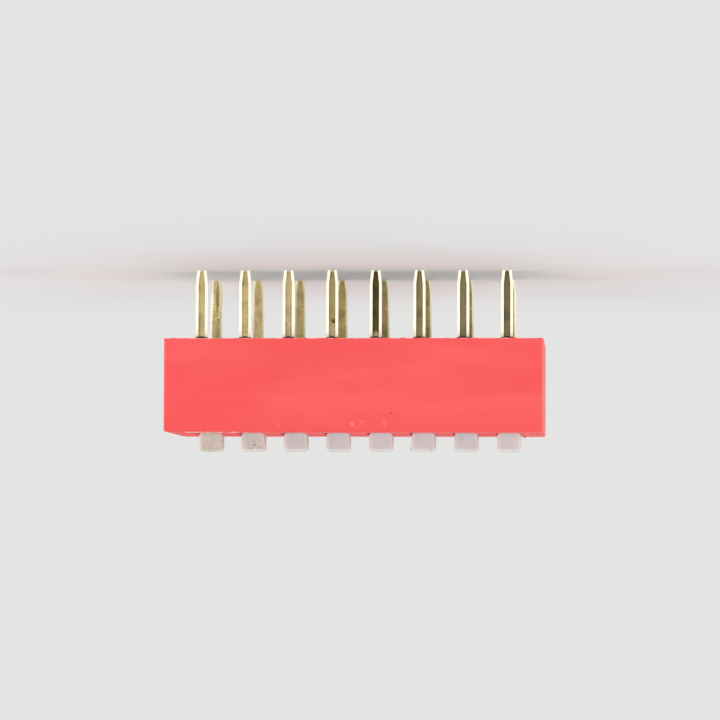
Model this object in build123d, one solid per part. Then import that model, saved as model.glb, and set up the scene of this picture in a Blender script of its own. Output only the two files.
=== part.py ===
from build123d import *
from math import radians, tan
import os

# Eight-position slide DIP switch for a printed circuit board. All sizes are in millimetres.
#
# Frame: Z = 0 is the seating plane, where the underside meets the board. +Z points out of the
# board through the actuator face, X runs along the row of sliders, and the origin is at the
# centre of the pin grid. Terminals 1 to 8 stand in the -Y row from -X to +X, and terminals
# 9 to 16 in the +Y row from +X to -X. The sliders are modelled at the -Y (OFF) end of their
# slots and travel towards +Y (ON).

# --- pin grid
POSITIONS = 8
PITCH = 2.54
ROW_SPACING = 7.62

# --- cover: a five-sided shell, open underneath, with one slot for each knob
COVER_HEIGHT = 5.4
COVER_WALL = 0.75
COVER_END_ROOM = 0.09       # inside the end walls, beyond the last position's share of the pitch
COVER_PIN_GAP = 0.13        # inside the side walls, beside the pins' flange edges
COVER_TOP = 0.8
COVER_EDGE_RADIUS = 0.12
SLOT_CORNER_RADIUS = 0.12
SLOT_SIDE_GAP = 0.05
SLOT_END_GAP = 0.05

# --- base: the floor that carries the terminals, with ribs between the positions
BASE_GAP = 0.03             # between the base and the inside of the cover
FLOOR_HEIGHT = 2.2
RIB_WIDTH = 0.36
RIB_TOP_GAP = 0.1           # between the ribs and the underside of the cover's top
TROUGH_DEPTH = 0.5
TROUGH_INSIDE = 0.6         # from a pin row's centre line to the trough's inner wall

# --- terminals: formed strip, a channel below the seating plane and a contact pad inside
SHEET = 0.16
PIN_LENGTH = 4.0            # below the seating plane
PIN_MOUTH = 0.70            # across the flange edges
PIN_BACK = 0.64             # across the web
PIN_DEPTH = 0.42            # web and flanges together
PIN_BACK_RADIUS = 0.08
TAPER_LENGTH = 0.78
TIP_MOUTH = 0.53
TIP_BACK = 0.47
TANG_WIDTH = 0.90
TANG_BEND_RADIUS = 0.14     # outside of the bend from tang to pad
TANG_GAP = 0.03             # between the tang and its slot in the base
SHOULDER_GAP = 0.02         # between the flanges' upper ends and the base
PAD_OVERRUN = 0.25          # how far the long pad runs past the clip's near foot when ON
PAD_SPACING = 0.4           # the insulating gap between the two pads of a position

# --- terminal 1 is bent: twisted and leaning from a crease below the seating plane
BENT_TERMINAL = 1
CREASE_Z = -1.35
CREASE_LENGTH = 0.35
BENT_TWIST = -15.0          # degrees about the pin's own length
BENT_LEAN = 1.5             # degrees towards the next terminal of its row

# --- terminal 13 has a dent in its web
DENTED_TERMINAL = 13
DENT_Z = -1.08
DENT_OFFSET = 0.05          # from the pin's centre line towards +X
DENT_RADIUS = 0.16
DENT_DEPTH = 0.05

# --- slider: a shoe under the cover's top and a knob through the slot
SLIDE_TRAVEL = 3.4
KNOB_WIDTH = 1.40
KNOB_LENGTH = 1.30
KNOB_PROUD = 1.0
KNOB_RADIUS = 0.18
SHOE_END_GAP = 0.25         # to the cover's side wall at each end of the travel
SHOE_TOP_GAP = 0.04
SHOE_RIB_GAP = 0.07
SHOE_LIFT = 0.62            # from the contact pads up to the shoe
POCKET_DEPTH = 0.6

# --- contact clip: a bowed strip in the shoe's pocket, with two rounded feet on the pads
CLIP_SHEET = 0.12
CLIP_WIDTH = 0.90
CLIP_FOOT = 1.25            # from the clip's centre to the low point of each foot
CLIP_CROWN = 0.45           # half length of the flat crown
CLIP_TOE = 0.30
CLIP_TOE_RISE = 0.22
CLIP_BEND = 0.16
CLIP_GAP = 0.02             # to the pads below and to the pocket's roof
POCKET_GAP = 0.06           # around the clip

# --- sealing resin in the two troughs
SEAL_RECESS = 0.08
SEAL_GAP = 0.01
MENISCUS_DROP = 0.18        # how far the resin hangs inside each channel, below the seating plane
MENISCUS_RADIUS = 0.10

# --- values that follow from those above
CAVITY_LENGTH = POSITIONS * PITCH + 2 * COVER_END_ROOM
CAVITY_WIDTH = ROW_SPACING + PIN_DEPTH + 2 * COVER_PIN_GAP
COVER_LENGTH = CAVITY_LENGTH + 2 * COVER_WALL
COVER_WIDTH = CAVITY_WIDTH + 2 * COVER_WALL
CAVITY_TOP = COVER_HEIGHT - COVER_TOP
BASE_LENGTH = CAVITY_LENGTH - 2 * BASE_GAP
BASE_WIDTH = CAVITY_WIDTH - 2 * BASE_GAP
WEB_INNER = (ROW_SPACING - PIN_DEPTH) / 2
WEB_OUTER = WEB_INNER + SHEET
PIN_OUTER = WEB_INNER + PIN_DEPTH
SHOULDER = TROUGH_DEPTH - SHOULDER_GAP
TROUGH_INNER = ROW_SPACING / 2 - TROUGH_INSIDE
PAD_TOP = FLOOR_HEIGHT + SHEET
LONG_PAD_END = SLIDE_TRAVEL / 2 - CLIP_FOOT + PAD_OVERRUN
SHORT_PAD_END = LONG_PAD_END + PAD_SPACING
SHOE_WIDTH = PITCH - RIB_WIDTH - 2 * SHOE_RIB_GAP
SHOE_LENGTH = CAVITY_WIDTH - SLIDE_TRAVEL - 2 * SHOE_END_GAP
SHOE_BOTTOM = PAD_TOP + SHOE_LIFT
SHOE_TOP = CAVITY_TOP - SHOE_TOP_GAP
POCKET_ROOF = SHOE_BOTTOM + POCKET_DEPTH
SLIDER_REST = -SLIDE_TRAVEL / 2
SLOT_LENGTH = SLIDE_TRAVEL + KNOB_LENGTH + 2 * SLOT_END_GAP
SLOT_WIDTH = KNOB_WIDTH + 2 * SLOT_SIDE_GAP
POSITION_X = [(index - (POSITIONS - 1) / 2) * PITCH for index in range(POSITIONS)]


def block(x_low, x_high, y_low, y_high, z_low, z_high):
    """A box from its lowest corner to its highest."""
    corner = (Align.MIN, Align.MIN, Align.MIN)
    return Pos(x_low, y_low, z_low) * Box(x_high - x_low, y_high - y_low, z_high - z_low, align=corner)


def centred_block(length, width, z_low, z_high):
    """A box centred on the Z axis."""
    return block(-length / 2, length / 2, -width / 2, width / 2, z_low, z_high)


def make_cover():
    """The moulded shell: outer block with eased edges, cavity and slots."""
    shell = centred_block(COVER_LENGTH, COVER_WIDTH, 0, COVER_HEIGHT)
    upright_edges = shell.edges().filter_by(Axis.Z)
    top_edges = shell.faces().sort_by(Axis.Z)[-1].edges()
    shell = fillet(upright_edges + top_edges, COVER_EDGE_RADIUS)
    shell -= centred_block(CAVITY_LENGTH, CAVITY_WIDTH, 0, CAVITY_TOP)
    slot = extrude(RectangleRounded(SLOT_WIDTH, SLOT_LENGTH, SLOT_CORNER_RADIUS), COVER_TOP)
    for x in POSITION_X:
        shell -= Pos(x, 0, CAVITY_TOP) * slot
    return shell


def make_base():
    """The floor with its ribs, the two resin troughs underneath and a slot for each tang."""
    base = centred_block(BASE_LENGTH, BASE_WIDTH, 0, FLOOR_HEIGHT)
    rib_top = CAVITY_TOP - RIB_TOP_GAP
    half_rib = RIB_WIDTH / 2
    half_width = BASE_WIDTH / 2
    for x in POSITION_X[:-1]:
        rib_x = x + PITCH / 2
        base += block(rib_x - half_rib, rib_x + half_rib, -half_width, half_width, FLOOR_HEIGHT, rib_top)
    end_wall = POSITIONS * PITCH / 2 - half_rib
    base += block(end_wall, BASE_LENGTH / 2, -half_width, half_width, FLOOR_HEIGHT, rib_top)
    base += block(-BASE_LENGTH / 2, -end_wall, -half_width, half_width, FLOOR_HEIGHT, rib_top)
    trough = block(-BASE_LENGTH / 2, BASE_LENGTH / 2, TROUGH_INNER, half_width, 0, TROUGH_DEPTH)
    tang_half = TANG_WIDTH / 2 + TANG_GAP
    tang_slot = block(-tang_half, tang_half, WEB_INNER - TANG_GAP, WEB_OUTER + TANG_GAP, 0, FLOOR_HEIGHT)
    for row_turn in (0, 180):
        base -= Rot(0, 0, row_turn) * trough
        for x in POSITION_X:
            base -= Pos(x, 0, 0) * Rot(0, 0, row_turn) * tang_slot
    return base


def channel_section(mouth, back):
    """The channel's section at the +Y row, with its flanges pointing outwards (+Y)."""
    inner_back = back / 2 - SHEET
    inner_mouth = mouth / 2 - SHEET
    outline = Polyline(
        (-back / 2, WEB_INNER),
        (back / 2, WEB_INNER),
        (mouth / 2, PIN_OUTER),
        (inner_mouth, PIN_OUTER),
        (inner_back, WEB_OUTER),
        (-inner_back, WEB_OUTER),
        (-inner_mouth, PIN_OUTER),
        (-mouth / 2, PIN_OUTER),
        close=True,
    )
    section = make_face(outline)
    back_corners = section.vertices().sort_by(Axis.Y)[:2]
    return fillet(back_corners, PIN_BACK_RADIUS)


def placed_section(z, section, twist=0, slope=0):
    """A section at height z, turned about the pin's centre and shifted along X by its lean."""
    shift = slope * (CREASE_Z - z)
    turn = Rot(0, 0, twist) * Pos(0, -ROW_SPACING / 2, 0)
    return Pos(shift, ROW_SPACING / 2, z) * turn * section


def make_leg(bent):
    """The channel from the shoulders under the base down to the tapered tip."""
    full = channel_section(PIN_MOUTH, PIN_BACK)
    tip = channel_section(TIP_MOUTH, TIP_BACK)
    twist = 0
    slope = 0
    sections = [placed_section(SHOULDER, full)]
    if bent:
        twist = BENT_TWIST
        slope = -tan(radians(BENT_LEAN))
        sections.append(placed_section(CREASE_Z, full))
        sections.append(placed_section(CREASE_Z - CREASE_LENGTH, full, twist, slope))
    sections.append(placed_section(TAPER_LENGTH - PIN_LENGTH, full, twist, slope))
    sections.append(placed_section(-PIN_LENGTH, tip, twist, slope))
    return loft(sections, ruled=True)


def make_terminal(pad_end, bent=False, dented=False):
    """One terminal at the +Y row: leg, tang through the base and contact pad."""
    tang_half = TANG_WIDTH / 2
    tang = block(-tang_half, tang_half, WEB_INNER, WEB_OUTER, SHOULDER, PAD_TOP)
    tang += block(-tang_half, tang_half, pad_end, WEB_OUTER, FLOOR_HEIGHT, PAD_TOP)
    outer_bend = tang.edges().filter_by(Axis.X).sort_by(Axis.Z)[-2:].sort_by(Axis.Y)[-1]
    terminal = make_leg(bent) + fillet(outer_bend, TANG_BEND_RADIUS)
    if dented:
        dent_y = WEB_OUTER + DENT_RADIUS - DENT_DEPTH
        terminal -= Pos(DENT_OFFSET, dent_y, DENT_Z) * Sphere(DENT_RADIUS)
    return terminal


def make_seal():
    """Resin that fills the +Y trough and hangs a little inside each channel, cut around the pins."""
    half_length = CAVITY_LENGTH / 2 - SEAL_GAP
    outer = CAVITY_WIDTH / 2 - SEAL_GAP
    inner = TROUGH_INNER + SEAL_GAP
    seal = block(-half_length, half_length, inner, outer, SEAL_RECESS, SHOULDER - SEAL_GAP)
    drop_half = PIN_BACK / 2 - SHEET
    drop = block(-drop_half, drop_half, WEB_OUTER, PIN_OUTER, -MENISCUS_DROP, SHOULDER - SEAL_GAP)
    lower_edges = drop.edges().filter_by(Axis.Y).sort_by(Axis.Z)[:2]
    drop = fillet(lower_edges, MENISCUS_RADIUS)
    grown_section = offset(channel_section(PIN_MOUTH, PIN_BACK), SEAL_GAP)
    pin_hole = Pos(0, 0, -PIN_LENGTH) * extrude(grown_section, PIN_LENGTH + TROUGH_DEPTH)
    for x in POSITION_X:
        seal += Pos(x, 0, 0) * drop
        seal -= Pos(x, 0, 0) * pin_hole
    return seal


def make_slider():
    """The shoe with its pocket, and the knob that stands through the slot."""
    shoe = centred_block(SHOE_WIDTH, SHOE_LENGTH, SHOE_BOTTOM, SHOE_TOP)
    knob = centred_block(KNOB_WIDTH, KNOB_LENGTH, SHOE_TOP, COVER_HEIGHT + KNOB_PROUD)
    upright_edges = knob.edges().filter_by(Axis.Z)
    top_edges = knob.faces().sort_by(Axis.Z)[-1].edges()
    knob = fillet(upright_edges + top_edges, KNOB_RADIUS)
    pocket_length = 2 * (CLIP_FOOT + CLIP_TOE + POCKET_GAP)
    pocket_width = CLIP_WIDTH + 2 * POCKET_GAP
    pocket = centred_block(pocket_width, pocket_length, SHOE_BOTTOM, POCKET_ROOF)
    return shoe + knob - pocket


def make_clip():
    """The bowed contact strip: flat crown under the pocket's roof, two feet and upturned toes."""
    half_sheet = CLIP_SHEET / 2
    foot_z = PAD_TOP + CLIP_GAP + half_sheet
    crown_z = POCKET_ROOF - CLIP_GAP - half_sheet
    toe = CLIP_FOOT + CLIP_TOE - half_sheet
    centre_line = FilletPolyline(
        (-toe, foot_z + CLIP_TOE_RISE),
        (-CLIP_FOOT, foot_z),
        (-CLIP_CROWN, crown_z),
        (CLIP_CROWN, crown_z),
        (CLIP_FOOT, foot_z),
        (toe, foot_z + CLIP_TOE_RISE),
        radius=CLIP_BEND,
    )
    profile = make_face(offset(centre_line, half_sheet))
    return extrude(Plane.YZ * profile, CLIP_WIDTH / 2, both=True)


def terminal_place(number):
    """Where a terminal goes: its position's x and the turn that faces its row outwards."""
    if number <= POSITIONS:
        return Pos(POSITION_X[number - 1], 0, 0) * Rot(0, 0, 180)
    return Pos(POSITION_X[2 * POSITIONS - number], 0, 0)


def write(shape, node):
    """One STEP file for each separate piece."""
    shape.label = node
    export_step(shape, f"parts/{node}.step")


def main():
    os.makedirs("parts", exist_ok=True)
    write(make_cover(), "cover")
    write(make_base(), "base")

    # The -Y pads reach past the middle, so that both feet of a clip stand on them when OFF.
    for number in range(1, 2 * POSITIONS + 1):
        pad_end = -LONG_PAD_END if number <= POSITIONS else SHORT_PAD_END
        bent = number == BENT_TERMINAL
        dented = number == DENTED_TERMINAL
        terminal = make_terminal(pad_end, bent, dented)
        write(terminal_place(number) * terminal, f"terminal_{number:02d}")

    seal = make_seal()
    write(Rot(0, 0, 180) * seal, "epoxy_seal_front")
    write(seal, "epoxy_seal_back")

    slider = make_slider()
    clip = make_clip()
    for number, x in enumerate(POSITION_X, start=1):
        rest = Pos(x, SLIDER_REST, 0)
        write(rest * slider, f"slider_{number}")
        write(rest * clip, f"contact_clip_{number}")


main()
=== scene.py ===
"""Looks for the slide DIP switch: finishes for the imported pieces, the print on the actuator face,
mould flash and dust, soft studio light and a camera that faces the long +Y side with the pins up."""

import math
import random

import bmesh
import bpy
from mathutils import Matrix, Vector, noise


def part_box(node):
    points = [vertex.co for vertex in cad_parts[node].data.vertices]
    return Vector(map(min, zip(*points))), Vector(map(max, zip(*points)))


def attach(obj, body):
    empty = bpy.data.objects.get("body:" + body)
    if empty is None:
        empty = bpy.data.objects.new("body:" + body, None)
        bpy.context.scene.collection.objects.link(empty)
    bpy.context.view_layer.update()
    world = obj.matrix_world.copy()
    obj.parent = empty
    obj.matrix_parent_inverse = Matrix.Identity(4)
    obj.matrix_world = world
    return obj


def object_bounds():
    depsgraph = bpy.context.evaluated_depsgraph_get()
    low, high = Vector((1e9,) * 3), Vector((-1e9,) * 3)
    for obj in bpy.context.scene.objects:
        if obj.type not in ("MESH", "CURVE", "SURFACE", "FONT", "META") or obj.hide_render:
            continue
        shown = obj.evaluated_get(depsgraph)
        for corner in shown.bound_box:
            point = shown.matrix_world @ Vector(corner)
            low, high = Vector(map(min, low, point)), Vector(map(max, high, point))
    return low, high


MM = 0.001

# The switch, in millimetres. Positions count from 1 at the -X end.
POSITIONS = 8
PITCH = 2.54
KNOB_HALF_WIDTH = 0.70
KNOB_HALF_DEPTH = 0.65
KNOB_RISE = 1.0
CORNER_RADIUS = 0.12
WEB_BACK = 3.60
WEB_INSET = 0.26
TAPER_START = -3.22
TAPER_INSET = 0.085

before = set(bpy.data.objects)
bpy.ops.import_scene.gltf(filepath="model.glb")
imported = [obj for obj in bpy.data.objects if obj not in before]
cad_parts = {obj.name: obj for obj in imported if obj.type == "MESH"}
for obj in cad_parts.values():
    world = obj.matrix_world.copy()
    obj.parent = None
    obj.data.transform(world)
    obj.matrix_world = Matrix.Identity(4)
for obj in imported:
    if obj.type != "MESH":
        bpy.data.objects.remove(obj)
cad_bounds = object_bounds()
cover_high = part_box("cover")[1]
pins_low, pins_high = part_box("terminal_16")


def position_x(number):
    """The middle of a position, in millimetres."""
    return (number - (POSITIONS + 1) / 2) * PITCH


# ---------------------------------------------------------------- node helpers

def add(tree, kind, inputs=None, **settings):
    """One shader node, with its settings and its inputs given as values or as other nodes' outputs."""
    made = tree.nodes.new("ShaderNode" + kind)
    for key, value in settings.items():
        setattr(made, key, value)
    for key, value in (inputs or {}).items():
        if isinstance(value, bpy.types.NodeSocket):
            tree.links.new(value, made.inputs[key])
        else:
            made.inputs[key].default_value = value
    return made


def new_material(name):
    """A material with a Principled shader, and its tree and shader."""
    material = bpy.data.materials.new(name)
    material.use_nodes = True
    tree = material.node_tree
    return material, tree, tree.nodes["Principled BSDF"]


def millimetres(tree, stretch=(1, 1, 1)):
    """The piece's own coordinates in millimetres, stretched along each axis."""
    place = add(tree, "TexCoord").outputs["Object"]
    scale = tuple(s / MM for s in stretch)
    return add(tree, "VectorMath", {0: place, 1: scale}, operation="MULTIPLY").outputs[0]


def axes(tree, vector):
    """The three parts of a vector."""
    return add(tree, "SeparateXYZ", {0: vector}).outputs


def calc(tree, operation, first, second=0.0):
    """One operation on one or two numbers."""
    return add(tree, "Math", {0: first, 1: second}, operation=operation).outputs[0]


def plus(tree, first, second):
    """One number added to another."""
    return calc(tree, "ADD", first, second)


def times(tree, first, second):
    """One number times another."""
    return calc(tree, "MULTIPLY", first, second)


def grain(tree, scale, stretch=(1, 1, 1), detail=3.0, seed=0.0, warp=0.0):
    """Noise from 0 to 1 with this many cells to the millimetre."""
    shift = {0: millimetres(tree, stretch), 1: (seed, seed, seed)}
    place = add(tree, "VectorMath", shift, operation="ADD").outputs[0]
    inputs = {"Vector": place, "Scale": scale, "Detail": detail, "Distortion": warp}
    return add(tree, "TexNoise", inputs).outputs[0]


def ease(tree, value, low, high, bottom=0.0, top=1.0):
    """A value's way from low to high, as a smooth step from bottom to top."""
    inputs = {"Value": value, "From Min": low, "From Max": high, "To Min": bottom, "To Max": top}
    return add(tree, "MapRange", inputs, interpolation_type="SMOOTHSTEP").outputs[0]


def blend_colour(tree, factor, first, second):
    """Two colours mixed by a factor."""
    made = add(tree, "Mix", data_type="RGBA")
    for index, value in ((0, factor), (6, first), (7, second)):
        if isinstance(value, bpy.types.NodeSocket):
            tree.links.new(value, made.inputs[index])
        else:
            made.inputs[index].default_value = (*value, 1.0) if index else value
    return made.outputs[2]


def spot(tree, centre, radii, rough, core, seed):
    """An irregular spot, 1 inside its core and 0 outside. Centre and radii are in millimetres."""
    away = add(tree, "VectorMath", {0: millimetres(tree), 1: centre}, operation="SUBTRACT").outputs[0]
    share = add(tree, "VectorMath", {0: away, 1: radii}, operation="DIVIDE").outputs[0]
    distance = add(tree, "VectorMath", {0: share}, operation="LENGTH").outputs["Value"]
    ragged = times(tree, calc(tree, "SUBTRACT", grain(tree, 9.0, seed=seed), 0.5), rough * 4)
    return ease(tree, plus(tree, distance, ragged), 1.0, core)


def lay_marks(rows, y, depth, centre_x=0.0):
    """Marks on a face at this y, from rows of x, z, half width, half height, strength and colour."""
    return [((x + centre_x, y, z), (wide, depth, high), strength, colour)
            for x, z, wide, high, strength, colour in rows]


def paint_marks(tree, colour, marks, rough, core, seed, step):
    """A colour with irregular marks over it. Each mark is a centre, radii, a strength and a colour."""
    for index, (centre, radii, strength, mark_colour) in enumerate(marks):
        mark = times(tree, spot(tree, centre, radii, rough, core, seed + index * step), strength)
        colour = blend_colour(tree, mark, colour, mark_colour)
    return colour


def add_bump(tree, shader, height, strength, depth):
    """Relief from a height, with its depth in millimetres."""
    bump = add(tree, "Bump", {"Height": height, "Strength": strength, "Distance": depth * MM})
    tree.links.new(bump.outputs[0], shader.inputs["Normal"])


# ---------------------------------------------------------------- the red cover

RED = (0.925, 0.088, 0.087)
RED_PAINTED_SHEEN = (0.95, 0.112, 0.110)
RED_DEEP = (0.90, 0.072, 0.071)
RED_HIGHLIGHT = (0.96, 0.20, 0.185)
RED_BURR = (0.98, 0.42, 0.38)
PALE_SPECK = (0.98, 0.30, 0.25)
DARK_SCUFF = (0.50, 0.035, 0.04)
MARK_DEPTH = 0.3

# On the +Y side: a pale speck with faint ones beside it, and a small dark scuff.
PALE_MARKS = [(-0.01, 4.96, 0.14, 0.20, 0.80, PALE_SPECK), (-0.17, 4.86, 0.20, 0.10, 0.25, PALE_SPECK),
              (0.50, 4.82, 0.32, 0.13, 0.25, PALE_SPECK), (1.85, 4.90, 0.22, 0.28, 0.30, PALE_SPECK),
              (-4.32, 5.00, 0.09, 0.26, 0.30, PALE_SPECK), (-2.60, 1.10, 0.40, 0.06, 0.12, PALE_SPECK)]
DARK_MARKS = [(2.18, 4.08, 0.13, 0.10, 0.28, DARK_SCUFF), (2.20, 4.33, 0.18, 0.11, 0.50, DARK_SCUFF),
              (1.91, 4.42, 0.20, 0.09, 0.35, DARK_SCUFF), (1.88, 4.20, 0.12, 0.08, 0.18, DARK_SCUFF)]


def red_haze(tree, z):
    """The cover's red, with a painted sheen in faint paler bands, flow marks, and painted shade: deeper red
    towards the top of the sides and over the actuator face.
    """
    # Painted sheen: faint paler bands of red.
    painted_sheen = grain(tree, 0.3, (0.35, 1, 1.6), detail=2, seed=4.0)
    colour = blend_colour(tree, ease(tree, painted_sheen, 0.35, 0.65), RED, RED_PAINTED_SHEEN)
    flow = grain(tree, 1.0, (0.2, 1, 1), detail=4, seed=9.0, warp=0.6)
    colour = blend_colour(tree, ease(tree, flow, 0.45, 0.8, 0.0, 0.5), colour, RED_DEEP)
    # Painted shade: deeper red towards the top of the sides and over the actuator face.
    return blend_colour(tree, ease(tree, z, 3.6, 5.0, 0.0, 0.45), colour, RED_DEEP)


def worn_corners(tree, x, y):
    """Where the upright corners are painted paler as a highlight, on the long sides only."""
    end, side = cover_high.x / MM, cover_high.y / MM
    ragged = plus(tree, calc(tree, "ABSOLUTE", x), times(tree, grain(tree, 2.2, detail=4), 0.14))
    at_end = ease(tree, ragged, end - 0.08, end + 0.05, 0.0, 0.65)
    at_side = ease(tree, calc(tree, "ABSOLUTE", y), side - 0.22, side - 0.08)
    return times(tree, at_end, at_side)


def rim_burr(tree, z):
    """Where the rim that meets the board is torn and pale."""
    ragged = plus(tree, z, times(tree, grain(tree, 2.6, detail=5, seed=2.0), -0.22))
    return ease(tree, ragged, -0.11, -0.17)


def red_plastic():
    """Moulded red cover: painted sheen and shade, flow marks, painted highlights on the upright corners, a
    pale burr at the rim, small marks.
    """
    material, tree, shader = new_material("red_plastic")
    x, y, z = axes(tree, millimetres(tree))
    side, top = cover_high.y / MM, cover_high.z / MM
    colour = red_haze(tree, z)
    # Painted highlight along the upright corners of the long sides.
    colour = blend_colour(tree, worn_corners(tree, x, y), colour, RED_HIGHLIGHT)
    colour = blend_colour(tree, rim_burr(tree, z), colour, RED_BURR)
    pale = lay_marks(PALE_MARKS, side, MARK_DEPTH)
    colour = paint_marks(tree, colour, pale, rough=0.12, core=0.1, seed=0, step=3.1)
    dark = lay_marks(DARK_MARKS, side, MARK_DEPTH)
    colour = paint_marks(tree, colour, dark, rough=0.15, core=0.1, seed=20, step=3.1)
    tree.links.new(colour, shader.inputs["Base Color"])

    # The actuator face has a finely sparked, matt texture.
    sheen = ease(tree, grain(tree, 0.5, (0.4, 1, 1), detail=4, seed=7.0), 0.3, 0.7, 0.34, 0.46)
    matt = ease(tree, z, top - 0.10, top - 0.02, 0.0, 0.30)
    tree.links.new(plus(tree, sheen, matt), shader.inputs["Roughness"])
    shader.inputs["Specular IOR Level"].default_value = 0.35
    waves = times(tree, grain(tree, 0.9, detail=2), 2.5)
    add_bump(tree, shader, plus(tree, grain(tree, 14.0, detail=3), waves), strength=0.25, depth=0.006)
    return material


# ---------------------------------------------------------------- base and resin

BASE_BLACK = (0.017, 0.016, 0.016)
BASE_GREY = (0.035, 0.032, 0.03)
RESIN_DARK = (0.018, 0.013, 0.010)
RESIN_BROWN = (0.050, 0.034, 0.022)


def dark_plastic():
    """Black moulded base, matt, with a fine grain."""
    material, tree, shader = new_material("dark_plastic")
    mottle = ease(tree, grain(tree, 1.5, detail=4), 0.3, 0.7)
    tree.links.new(blend_colour(tree, mottle, BASE_BLACK, BASE_GREY), shader.inputs["Base Color"])
    shader.inputs["Roughness"].default_value = 0.55
    add_bump(tree, shader, grain(tree, 9.0, detail=4), strength=0.4, depth=0.01)
    return material


def resin():
    """Cured sealing resin: dark brown, glossy and uneven."""
    material, tree, shader = new_material("resin")
    mottle = ease(tree, grain(tree, 1.1, detail=3, seed=5.0), 0.3, 0.7)
    tree.links.new(blend_colour(tree, mottle, RESIN_DARK, RESIN_BROWN), shader.inputs["Base Color"])
    shader.inputs["Roughness"].default_value = 0.28
    add_bump(tree, shader, grain(tree, 1.6, detail=2), strength=0.7, depth=0.06)
    return material


# ---------------------------------------------------------------- the knobs

KNOB_HIGHLIGHT = (0.78, 0.80, 0.745)
KNOB_GRIME = (0.30, 0.255, 0.185)
KNOB_FLECK = (0.16, 0.145, 0.13)
BROWN = (0.36, 0.29, 0.17)
BLACK = (0.10, 0.09, 0.08)
LILAC = (0.66, 0.62, 0.66)
EDGE_START = 0.22
EDGE_CREST = 0.02

KNOB_TINTS = [(0.64, 0.635, 0.55), (0.62, 0.64, 0.61), (0.635, 0.665, 0.665), (0.645, 0.675, 0.675),
              (0.645, 0.675, 0.675), (0.645, 0.675, 0.67), (0.625, 0.66, 0.665), (0.70, 0.72, 0.715)]
KNOB_SOILS = [0.35, 0.30, 0.10, 0.07, 0.06, 0.06, 0.05, 0.03]
KNOB_MARKS = {
    1: [(0.0, 6.28, 0.75, 0.16, 0.40, BROWN), (-0.10, 5.95, 0.42, 0.26, 0.15, BROWN),
        (0.48, 5.80, 0.20, 0.40, 0.60, LILAC)],
    2: [(0.11, 5.97, 0.07, 0.07, 0.60, BLACK), (0.07, 6.04, 0.06, 0.06, 0.50, BLACK),
        (0.0, 5.79, 0.24, 0.05, 0.30, BLACK), (-0.15, 6.22, 0.20, 0.08, 0.35, BROWN)],
    4: [(0.20, 6.22, 0.08, 0.04, 0.40, BROWN)],
    6: [(0.45, 6.30, 0.12, 0.05, 0.40, BROWN)],
}


def knob_edges(tree, middle):
    """How near a point is to an edge of the knob, where two of its faces meet."""
    away = add(tree, "VectorMath", {0: millimetres(tree), 1: middle}, operation="SUBTRACT").outputs[0]
    x, y, z = axes(tree, away)
    reaches = ((calc(tree, "ABSOLUTE", x), KNOB_HALF_WIDTH), (calc(tree, "ABSOLUTE", y), KNOB_HALF_DEPTH),
               (z, KNOB_RISE / 2))
    wide, deep, high = (ease(tree, reach, half - EDGE_START, half - EDGE_CREST) for reach, half in reaches)
    upright_or_front = calc(tree, "MAXIMUM", times(tree, wide, deep), times(tree, deep, high))
    return calc(tree, "MAXIMUM", upright_or_front, times(tree, high, wide))


def knob_plastic(name, tint, soil, marks, middle, seed):
    """Off-white moulded slider: its own tint, edges painted paler as a highlight, grey and brown soiling, and
    small marks.
    """
    material, tree, shader = new_material(name)
    shade = tuple(channel * 0.90 for channel in tint)
    clouds = ease(tree, grain(tree, 0.9, detail=3, seed=seed), 0.35, 0.7)
    colour = blend_colour(tree, clouds, tint, shade)
    # Painted highlight: the knob's edges paler.
    colour = blend_colour(tree, times(tree, knob_edges(tree, middle), 0.75), colour, KNOB_HIGHLIGHT)
    grime = grain(tree, 2.2, detail=6, seed=seed + 11, warp=0.4)
    colour = blend_colour(tree, ease(tree, grime, 0.56, 0.74, 0.0, soil), colour, KNOB_GRIME)
    fleck = grain(tree, 7.0, detail=4, seed=seed + 23)
    colour = blend_colour(tree, ease(tree, fleck, 0.68, 0.76, 0.0, min(1.0, soil + 0.12)), colour, KNOB_FLECK)
    colour = paint_marks(tree, colour, marks, rough=0.5, core=0.55, seed=seed, step=2.3)
    tree.links.new(colour, shader.inputs["Base Color"])

    roughness = ease(tree, grain(tree, 1.4, detail=4, seed=seed), 0.3, 0.7, 0.42, 0.6)
    tree.links.new(roughness, shader.inputs["Roughness"])
    shader.inputs["Subsurface Weight"].default_value = 0.15
    shader.inputs["Subsurface Radius"].default_value = (1.0, 1.0, 1.0)
    shader.inputs["Subsurface Scale"].default_value = 0.25 * MM
    waves = times(tree, grain(tree, 1.6), 2.0)
    relief = plus(tree, grain(tree, 11.0, detail=3, seed=seed), waves)
    add_bump(tree, shader, relief, strength=0.45, depth=0.012)
    return material


# ---------------------------------------------------------------- the terminals and clips

GOLD_EDGE = (1.0, 0.97, 0.80)
GOLD_SCRAPE_AND_HIGHLIGHT = (1.0, 0.955, 0.73)
WARMTH = (1.12, 1.05, 0.95)
BRIGHT_WEB = (0.68, 0.57, 0.29)
OLIVE_WEB = (0.48, 0.385, 0.165)
KINK = (0.60, 0.48, 0.33)
DARK_SPOT = (0.07, 0.055, 0.04)
ROOT_STAIN = (0.62, 0.50, 0.36)
DARK_STREAK = (0.20, 0.155, 0.05)
SPRING_BRIGHT = (0.78, 0.60, 0.27)
SPRING_DULL = (0.60, 0.45, 0.20)

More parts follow.
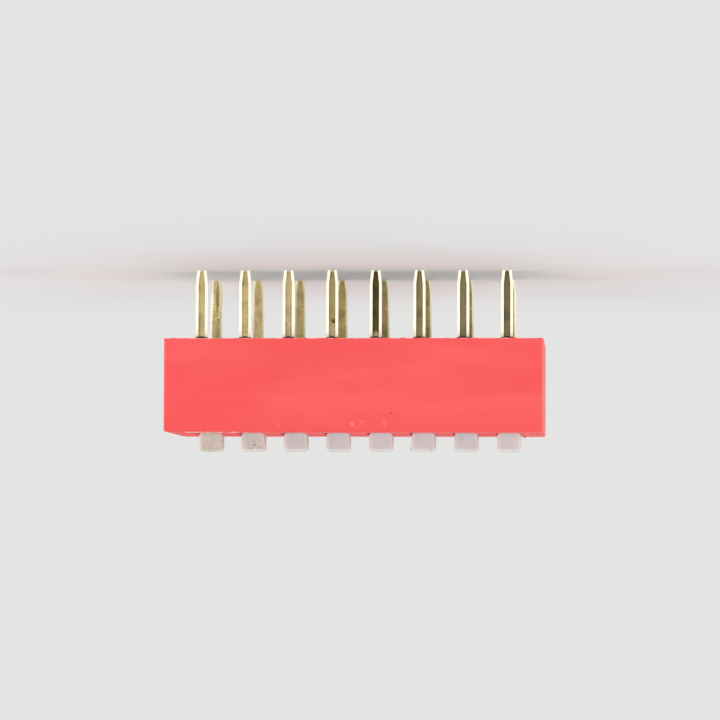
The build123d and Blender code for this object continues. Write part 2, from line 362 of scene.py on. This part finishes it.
# The webs of 9 to 12 are painted darker, and 12 nearly black: a painted dark reflection. The others differ as
# tarnish.
WEBS = {16: BRIGHT_WEB, 15: BRIGHT_WEB, 14: (0.66, 0.55, 0.29), 13: (0.45, 0.38, 0.18),
        12: (0.11, 0.085, 0.032), 11: (0.31, 0.255, 0.115), 10: (0.29, 0.24, 0.11), 9: (0.23, 0.19, 0.09),
        1: (0.64, 0.54, 0.27), 2: (0.84, 0.68, 0.32), 3: (0.66, 0.545, 0.25), 4: (0.60, 0.48, 0.20),
        5: (0.46, 0.37, 0.16)}
# Terminal 13: a paler patch at the kink and a small dark spot; terminal 12: a stain at the root; terminal 1:
# a broad pale strip on the left and a dark streak right of the middle.
TERMINAL_MARKS = {
    13: [(0.0, -0.35, 0.50, 0.62, 0.50, KINK), (0.05, -1.08, 0.17, 0.16, 0.80, DARK_SPOT)],
    12: [(0.0, -0.05, 0.50, 0.55, 0.75, ROOT_STAIN)],
    1: [(-0.26, -2.80, 0.17, 1.45, 1.0, GOLD_SCRAPE_AND_HIGHLIGHT), (0.09, -2.85, 0.12, 1.20, 0.85, DARK_STREAK)],
}


def tarnish(tree, web, lines, patches):
    """The web's colour, duller in patches and warmer along the drawn lines."""
    dull = tuple(channel * 0.62 for channel in web)
    warm = tuple(channel * factor for channel, factor in zip(web, WARMTH))
    colour = blend_colour(tree, ease(tree, patches, 0.38, 0.68), web, dull)
    return blend_colour(tree, ease(tree, lines, 0.45, 0.75, 0.0, 0.7), colour, warm)


def sheared_edges(tree, y, outward):
    """Where the bare flange edges face outwards at the channel's mouth."""
    mouth = pins_high.y / MM
    normal = add(tree, "NewGeometry").outputs["Normal"]
    facing = times(tree, axes(tree, normal)[1], outward)
    depth = times(tree, y, outward)
    return times(tree, ease(tree, facing, 0.5, 0.8), ease(tree, depth, mouth - 0.05, mouth - 0.015))


def bright_sides(tree, x, z, lines, middle):
    """Painted highlights: pale strips along both sides of the pin, which follow its tapered tip."""
    reach = {"Value": z, "From Min": TAPER_START, "From Max": pins_low.z / MM, "To Max": TAPER_INSET}
    taper = add(tree, "MapRange", reach).outputs[0]
    away = plus(tree, calc(tree, "ABSOLUTE", calc(tree, "SUBTRACT", x, middle)), taper)
    return ease(tree, plus(tree, away, times(tree, lines, 0.03)), 0.205, 0.25, 0.0, 0.92)


def root_film(tree, z, seed):
    """Where a thin film of resin has crept up the root; the dark band there is also painted shade below the
    rim.
    """
    creep = plus(tree, z, times(tree, grain(tree, 4.0, detail=3, seed=seed), 0.16))
    return ease(tree, creep, -0.08, -0.02, 0.0, 0.9)


def gold(name, web, centre_x, outward, seed, marks):
    """Gold plate on one terminal: a web with its own tarnish, which on some terminals is a painted dark
    reflection, drawn lines along the pin, bright sheared flange edges, painted highlights along the sides and
    at the tip, and a small tool mark on the back of the web."""
    material, tree, shader = new_material(name)
    x, y, z = axes(tree, millimetres(tree))
    lines = grain(tree, 1.0, (16, 16, 0.9), detail=4, seed=seed)
    patches = grain(tree, 1.3, (1, 1, 0.8), detail=4, seed=seed + 5, warp=0.5)
    edge = sheared_edges(tree, y, outward)
    # Painted highlight strips along both sides of the pin.
    side = bright_sides(tree, x, z, lines, centre_x - 0.025 * outward)
    # Painted highlight at the tip.
    tip = ease(tree, z, pins_low.z / MM + 0.06, pins_low.z / MM + 0.02, 0.0, 0.6)
    tool_mark = ((centre_x + 0.16, outward * WEB_BACK, -2.27), (0.11, 0.06, 0.03), 0.8, GOLD_SCRAPE_AND_HIGHLIGHT)

    colour = tarnish(tree, web, lines, patches)
    colour = blend_colour(tree, side, colour, GOLD_SCRAPE_AND_HIGHLIGHT)
    colour = blend_colour(tree, edge, colour, GOLD_EDGE)
    colour = blend_colour(tree, tip, colour, GOLD_SCRAPE_AND_HIGHLIGHT)
    colour = paint_marks(tree, colour, (tool_mark, *marks), rough=0.3, core=0.35, seed=seed, step=1)
    # Dark band at the root: resin film and painted shade.
    colour = blend_colour(tree, root_film(tree, z, seed), colour, RESIN_DARK)
    tree.links.new(colour, shader.inputs["Base Color"])

    shader.inputs["Metallic"].default_value = 1.0
    worn = times(tree, calc(tree, "MAXIMUM", edge, side), 0.26)
    roughness = plus(tree, ease(tree, patches, 0.3, 0.7, 0.26, 0.38), worn)
    tree.links.new(roughness, shader.inputs["Roughness"])
    add_bump(tree, shader, plus(tree, lines, times(tree, patches, 1.5)), strength=0.35, depth=0.008)
    return material


def spring_brass():
    """Plated spring strip inside the sliders."""
    material, tree, shader = new_material("spring_brass")
    lines = grain(tree, 1.0, (14, 1.5, 4), detail=4, seed=3.0)
    colour = blend_colour(tree, ease(tree, lines, 0.35, 0.7), SPRING_BRIGHT, SPRING_DULL)
    tree.links.new(colour, shader.inputs["Base Color"])
    shader.inputs["Metallic"].default_value = 1.0
    shader.inputs["Roughness"].default_value = 0.3
    add_bump(tree, shader, lines, strength=0.3, depth=0.006)
    return material


# ---------------------------------------------------------------- print, flash and dust

INK_WHITE = (0.80, 0.78, 0.75)
DUST_PALE = (0.72, 0.62, 0.58)
DUST_DARK = (0.48, 0.40, 0.37)


def ink():
    """White print, thin enough for the red to show through where it is worn."""
    material, tree, shader = new_material("ink")
    wear = ease(tree, grain(tree, 5.0, detail=6, seed=8.0), 0.60, 0.74, 0.0, 0.75)
    tree.links.new(blend_colour(tree, wear, INK_WHITE, RED), shader.inputs["Base Color"])
    shader.inputs["Roughness"].default_value = 0.5
    add_bump(tree, shader, grain(tree, 12.0), strength=0.3, depth=0.004)
    return material


def flash_plastic():
    """The thin edge of a moulding, paler than the wall behind it where it is torn."""
    material, tree, shader = new_material("flash_plastic")
    pale = ease(tree, grain(tree, 2.2, detail=4, seed=6.0), 0.42, 0.60)
    tree.links.new(blend_colour(tree, pale, RED_DEEP, RED_BURR), shader.inputs["Base Color"])
    shader.inputs["Roughness"].default_value = 0.5
    add_bump(tree, shader, grain(tree, 8.0), strength=0.4, depth=0.008)
    return material


def dust_grey():
    """Lint and crumbs."""
    material, tree, shader = new_material("dust_grey")
    mottle = ease(tree, grain(tree, 6.0, detail=3), 0.35, 0.65)
    tree.links.new(blend_colour(tree, mottle, DUST_PALE, DUST_DARK), shader.inputs["Base Color"])
    shader.inputs["Roughness"].default_value = 0.85
    return material


# ---------------------------------------------------------------- finishes for the CAD pieces

def finish_node(node, material):
    """Gives a CAD node its material in place of the imported one."""
    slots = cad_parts[node].data.materials
    slots.clear()
    slots.append(material)


def finish_housing():
    """Cover, base, resin and the clips inside."""
    finish_node("cover", red_plastic())
    finish_node("base", dark_plastic())
    sealing = resin()
    for node in ("epoxy_seal_front", "epoxy_seal_back"):
        finish_node(node, sealing)
    strip = spring_brass()
    for number in range(1, POSITIONS + 1):
        finish_node(f"contact_clip_{number}", strip)


def finish_sliders():
    """Each knob has its own tint and dirt."""
    low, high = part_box("slider_1")
    middle_y = (low.y + high.y) / 2 / MM
    middle_z = high.z / MM - KNOB_RISE / 2
    for number in range(1, POSITIONS + 1):
        centre_x = position_x(number)
        tint, soil = KNOB_TINTS[number - 1], KNOB_SOILS[number - 1]
        marks = lay_marks(KNOB_MARKS.get(number, ()), middle_y + KNOB_HALF_DEPTH, MARK_DEPTH, centre_x)
        middle = (centre_x, middle_y, middle_z)
        material = knob_plastic(f"knob_plastic_{number}", tint, soil, marks, middle, 7.0 * number)
        finish_node(f"slider_{number}", material)


def finish_terminals():
    """Each terminal has its own tarnish. The webs of 9 to 12 are darker, and 12 is nearly black, as a painted
    dark reflection.
    """
    for number in range(1, 2 * POSITIONS + 1):
        far = number <= POSITIONS
        centre_x = position_x(number if far else 2 * POSITIONS + 1 - number)
        outward = -1 if far else 1
        face_y, depth = (-WEB_BACK, 0.5) if far else (pins_high.y / MM - WEB_INSET, 0.2)
        marks = lay_marks(TERMINAL_MARKS.get(number, ()), face_y, depth, centre_x)
        web = WEBS.get(number, OLIVE_WEB)
        material = gold(f"gold_{number:02d}", web, centre_x, outward, 3.7 * number, marks)
        finish_node(f"terminal_{number:02d}", material)


# ---------------------------------------------------------------- modelled pieces

# Print on the actuator face, in millimetres. It is laid a little over the face, with its underside sunk in.
LETTER_HEIGHT = 1.45
PRINT_ROW = 3.65
ON_X = -8.75
ARROW_X = -7.0
INK_LEVEL = 0.004
INK_HALF = 0.006
ARROW_HALF_WIDTH = 0.32
ARROW_HEAD = 0.42
ARROW_LENGTH = 1.15
ARROW_HALF_STEM = 0.09

# Flash along the cover's rim and on the sixth knob, in millimetres.
FLASH_STEP = 0.11
FLASH_LEAST = 0.014
FLASH_MOST = 0.050
FLASH_LEAN = 0.010
TORN_KNOB = 6
TORN_RINGS = 9
TORN_THICK = 0.05
TORN_ROOT = 0.05
TORN_BACK = 0.30
TORN_TOP = 0.04
TORN_LENGTH = 0.34
TORN_REACH = 0.16

# Crumbs on the actuator face and along its edge: x, y and radius in millimetres.
CRUMBS = [(-10.63, 0.28, 0.09), (9.75, -4.55, 0.08), (10.05, 0.5, 0.05), (-6.2, 4.3, 0.04), (3.9, 4.4, 0.04),
          (7.7, 4.5, 0.035), (-2.4, 4.5, 0.035)]


def link_mesh(name, mesh, body, material):
    """A mesh as a piece that rides on a body."""
    mesh.materials.clear()
    mesh.materials.append(material)
    piece = bpy.data.objects.new(name, mesh)
    bpy.context.scene.collection.objects.link(piece)
    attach(piece, body)


def link_shape(name, shape, body, material):
    """An edited shape as a piece that rides on a body."""
    mesh = bpy.data.meshes.new(name)
    shape.to_mesh(mesh)
    shape.free()
    link_mesh(name, mesh, body, material)


def skin(shape, pairs):
    """The faces between each ring of points and the ring that follows it."""
    for ring, following in pairs:
        for index in range(len(ring)):
            other = (index + 1) % len(ring)
            shape.faces.new((ring[index], ring[other], following[other], following[index]))


def print_text(name, words, x, y, material):
    """Generic marking printed on the actuator face, read with +Y up."""
    curve = bpy.data.curves.new(name + "_curve", "FONT")
    curve.body = words
    curve.size = LETTER_HEIGHT * MM
    curve.align_x = "CENTER"
    curve.align_y = "CENTER"
    curve.extrude = INK_HALF * MM
    curve.resolution_u = 6
    letters = bpy.data.objects.new(name + "_curve", curve)
    bpy.context.scene.collection.objects.link(letters)
    bpy.context.view_layer.update()
    mesh = bpy.data.meshes.new_from_object(letters)
    bpy.data.objects.remove(letters)
    mesh.transform(Matrix.Translation((x * MM, y * MM, cover_high.z + INK_LEVEL * MM)))
    link_mesh(name, mesh, "housing", material)


def print_arrow(material):
    """The arrow beside ON, pointing the way the sliders travel."""
    tip = ARROW_LENGTH / 2
    neck = tip - ARROW_HEAD
    outline = [(-ARROW_HALF_STEM, -tip), (ARROW_HALF_STEM, -tip), (ARROW_HALF_STEM, neck),
               (ARROW_HALF_WIDTH, neck), (0, tip), (-ARROW_HALF_WIDTH, neck), (-ARROW_HALF_STEM, neck)]
    shape = bmesh.new()
    layers = []
    for level in (INK_LEVEL - INK_HALF, INK_LEVEL + INK_HALF):
        z = cover_high.z + level * MM
        layers.append([shape.verts.new(((ARROW_X + x) * MM, (PRINT_ROW + y) * MM, z)) for x, y in outline])
    under, over = layers
    shape.faces.new(list(reversed(under)))
    shape.faces.new(over)
    skin(shape, [(under, over)])
    link_shape("printed_arrow", shape, "housing", material)


def print_face():
    """ON with its arrow along the +Y side, and the position numbers along the -Y side."""
    white = ink()
    print_text("printed_on", "ON", ON_X, PRINT_ROW, white)
    print_arrow(white)
    for number in range(1, POSITIONS + 1):
        print_text(f"printed_{number}", str(number), position_x(number), -PRINT_ROW, white)


def perimeter(step):
    """Points and outward directions along the cover's lower outer edge, round its eased corners."""
    radius = CORNER_RADIUS * MM
    turns = 4
    points = []
    corners = ((1, 1), (-1, 1), (-1, -1), (1, -1))
    centres = [Vector((x * (cover_high.x - radius), y * (cover_high.y - radius), 0)) for x, y in corners]
    for index, centre in enumerate(centres):
        for turn in range(turns + 1):
            angle = math.radians(90) * (index + turn / turns)
            direction = Vector((math.cos(angle), math.sin(angle), 0))
            points.append((centre + direction * radius, direction))
        following = centres[(index + 1) % len(centres)]
        count = round((following - centre).length / step)
        for part in range(1, count):
            points.append((centre.lerp(following, part / count) + direction * radius, direction))
    return points


def rim_flash():
    """The ragged moulding flash along the cover's rim, a few hundredths of a millimetre high."""
    shape = bmesh.new()
    rings = []
    for point, direction in perimeter(FLASH_STEP * MM):
        place = point / MM
        wave = noise.noise(place * 1.9) * 0.6 + noise.noise(place * 6.3) * 0.4
        hang = FLASH_LEAST + FLASH_MOST * max(0.0, wave + 0.12)
        lean = noise.noise(place * 2.7 + Vector((9, 0, 0))) * FLASH_LEAN
        section = ((-0.050, 0.010), (0.004, 0.012), (0.004 + lean, -hang), (-0.016 + lean, -hang * 0.9),
                   (-0.040, -0.002))
        places = [point + (direction * out + Vector((0, 0, z))) * MM for out, z in section]
        rings.append([shape.verts.new(place) for place in places])
    skin(shape, zip(rings, rings[1:] + rings[:1]))
    bmesh.ops.recalc_face_normals(shape, faces=shape.faces)
    link_shape("rim_flash", shape, "housing", flash_plastic())


def knob_flash():
    """A torn bit of flash on the -X edge of one knob."""
    slider = f"slider_{TORN_KNOB}"
    low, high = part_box(slider)
    edge_x = position_x(TORN_KNOB) - KNOB_HALF_WIDTH
    root_x = edge_x + TORN_ROOT
    back_y = (low.y + high.y) / 2 / MM + KNOB_HALF_DEPTH - TORN_BACK
    shape = bmesh.new()
    rings = []
    for index in range(TORN_RINGS):
        share = index / (TORN_RINGS - 1)
        z = high.z / MM - TORN_TOP - TORN_LENGTH * share
        reach = TORN_REACH * (1 - share) ** 1.4 + 0.035 * noise.noise(Vector((share * 5, 3, 1)))
        outline = ((root_x, back_y), (root_x, back_y + TORN_THICK),
                   (edge_x - reach, back_y + TORN_THICK * 0.8), (edge_x - reach, back_y + TORN_THICK * 0.3))
        rings.append([shape.verts.new((x * MM, y * MM, z * MM)) for x, y in outline])
    skin(shape, zip(rings, rings[1:]))
    shape.faces.new(rings[0])
    shape.faces.new(list(reversed(rings[-1])))
    bmesh.ops.recalc_face_normals(shape, faces=shape.faces)
    link_shape("knob_flash", shape, slider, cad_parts[slider].data.materials[0])


def crumbs():
    """A few crumbs of dust on the actuator face and along its edge."""
    draws = random.Random(5)
    top = cover_high.z / MM
    squat = Matrix.Diagonal((1.5, 0.8, 0.5, 1.0))
    shape = bmesh.new()
    for x, y, size in CRUMBS:
        made = bmesh.ops.create_icosphere(shape, subdivisions=2, radius=size * MM)
        turn = Matrix.Rotation(draws.uniform(0, math.pi), 4, "Z")
        place = Vector((x, y, top + size * 0.4)) * MM
        for vert in made["verts"]:
            bulge = 1 + 0.35 * noise.noise(vert.co / MM * 14 + Vector((x, y, top)))
            vert.co = turn @ squat @ (vert.co * bulge) + place
    link_shape("dust_crumbs", shape, "housing", dust_grey())


# ---------------------------------------------------------------- stage and light

FLOOR_COLOUR = (0.78, 0.78, 0.775)
FLOOR_LIFT = 0.10
FLOOR_REACH = 2.5
BACKDROP = (0.774, 0.774, 0.768)
AMBIENT = 0.40


def make_floor():
    """A plain pale floor under the pin tips."""
    height = cad_bounds[0].z
    corners = [(x * FLOOR_REACH, y * FLOOR_REACH, height) for x, y in ((-1, -1), (1, -1), (1, 1), (-1, 1))]
    mesh = bpy.data.meshes.new("floor")
    mesh.from_pydata(corners, [], [(0, 1, 2, 3)])
    floor = bpy.data.objects.new("floor", mesh)
    bpy.context.scene.collection.objects.link(floor)
    material, tree, shader = new_material("floor")
    tree.nodes.remove(shader)
    matt = add(tree, "BsdfDiffuse", {"Color": (*FLOOR_COLOUR, 1.0)})
    glow = add(tree, "Emission", {"Color": (1, 1, 1, 1), "Strength": FLOOR_LIFT})
    nothing = add(tree, "Emission", {"Strength": 0.0})
    seen = add(tree, "LightPath").outputs["Is Camera Ray"]
    lift = add(tree, "MixShader", {0: seen, 1: nothing.outputs[0], 2: glow.outputs[0]})
    both = add(tree, "AddShader", {0: matt.outputs[0], 1: lift.outputs[0]})
    tree.links.new(both.outputs[0], tree.nodes["Material Output"].inputs["Surface"])
    mesh.materials.append(material)


def make_world():
    """Even ambient light, with a plain pale backdrop for the camera and for reflections."""
    world = bpy.data.worlds.new("studio")
    bpy.context.scene.world = world
    world.use_nodes = True
    tree = world.node_tree
    tree.nodes.clear()
    path = add(tree, "LightPath").outputs
    direct = calc(tree, "MAXIMUM", path["Is Camera Ray"], path["Is Glossy Ray"])
    direct = calc(tree, "MAXIMUM", direct, path["Is Transmission Ray"])
    ambient = add(tree, "Background", {"Color": (1, 1, 1, 1), "Strength": AMBIENT})
    backdrop = add(tree, "Background", {"Color": (*BACKDROP, 1.0), "Strength": 1.0})
    mixed = add(tree, "MixShader", {0: direct, 1: ambient.outputs[0], 2: backdrop.outputs[0]})
    output = add(tree, "OutputWorld")
    tree.links.new(mixed.outputs[0], output.inputs["Surface"])


def make_lamp(name, azimuth, elevation, level, softness, glossy=True):
    """A distant soft lamp. Azimuth is measured from +Y towards +X; a white surface that faces
    the lamp reaches this level."""
    lamp = bpy.data.lights.new(name, "SUN")
    lamp.energy = level * math.pi
    lamp.angle = math.radians(softness)
    holder = bpy.data.objects.new(name, lamp)
    bpy.context.scene.collection.objects.link(holder)
    a, e = math.radians(azimuth), math.radians(elevation)
    towards = Vector((math.sin(a) * math.cos(e), math.cos(a) * math.cos(e), math.sin(e)))
    holder.rotation_mode = "QUATERNION"
    holder.rotation_quaternion = towards.to_track_quat("Z", "Y")
    holder.visible_glossy = glossy


def make_lamps():
    """Two soft keys in front of the +Y side, and weaker ones at the ends and behind."""
    make_lamp("key_left", azimuth=-38, elevation=11, level=0.44, softness=50)
    make_lamp("key_right", azimuth=34, elevation=10, level=0.40, softness=50)
    make_lamp("end_left", azimuth=-100, elevation=16, level=0.28, softness=40)
    make_lamp("end_right", azimuth=104, elevation=16, level=0.28, softness=40)
    make_lamp("back", azimuth=180, elevation=20, level=0.40, softness=50, glossy=False)


# ---------------------------------------------------------------- camera

# In millimetres: x from the cover's middle, away from its +Y side, over its actuator face, and the height
# of the point aimed at over the seating plane. The roll is in degrees.
LENS = 174.0
SENSOR = 36.0
CAMERA_X = 13.9
CAMERA_AWAY = 200.4
CAMERA_OVER = 6.35
AIM_X = 0.42
AIM_Z = 1.256
CAMERA_ROLL = -0.17


def make_camera():
    """The camera faces the +Y side from 200 mm, a little past the actuator face and towards +X,
    and is turned upside down, so that the pins point up in the picture."""
    camera = bpy.data.cameras.new("camera")
    camera.lens = LENS
    camera.sensor_width = SENSOR
    camera.clip_start = 0.01
    camera.clip_end = 10.0
    holder = bpy.data.objects.new("camera", camera)
    bpy.context.scene.collection.objects.link(holder)
    side, top = cover_high.y / MM, cover_high.z / MM
    place = Vector((CAMERA_X, side + CAMERA_AWAY, top + CAMERA_OVER)) * MM
    aim = Vector((AIM_X, side, AIM_Z)) * MM
    forward = (aim - place).normalized()
    right = forward.cross(Vector((0, 0, -1))).normalized()
    up = right.cross(forward)
    turn = Matrix((right, up, -forward)).transposed()
    roll = Matrix.Rotation(math.radians(CAMERA_ROLL), 3, forward)
    holder.matrix_world = Matrix.Translation(place) @ (roll @ turn).to_4x4()
    bpy.context.scene.camera = holder


make_camera()
finish_housing()
finish_sliders()
finish_terminals()
print_face()
rim_flash()
knob_flash()
crumbs()
make_floor()
make_world()
make_lamps()
bpy.context.scene.view_settings.view_transform = "Standard"
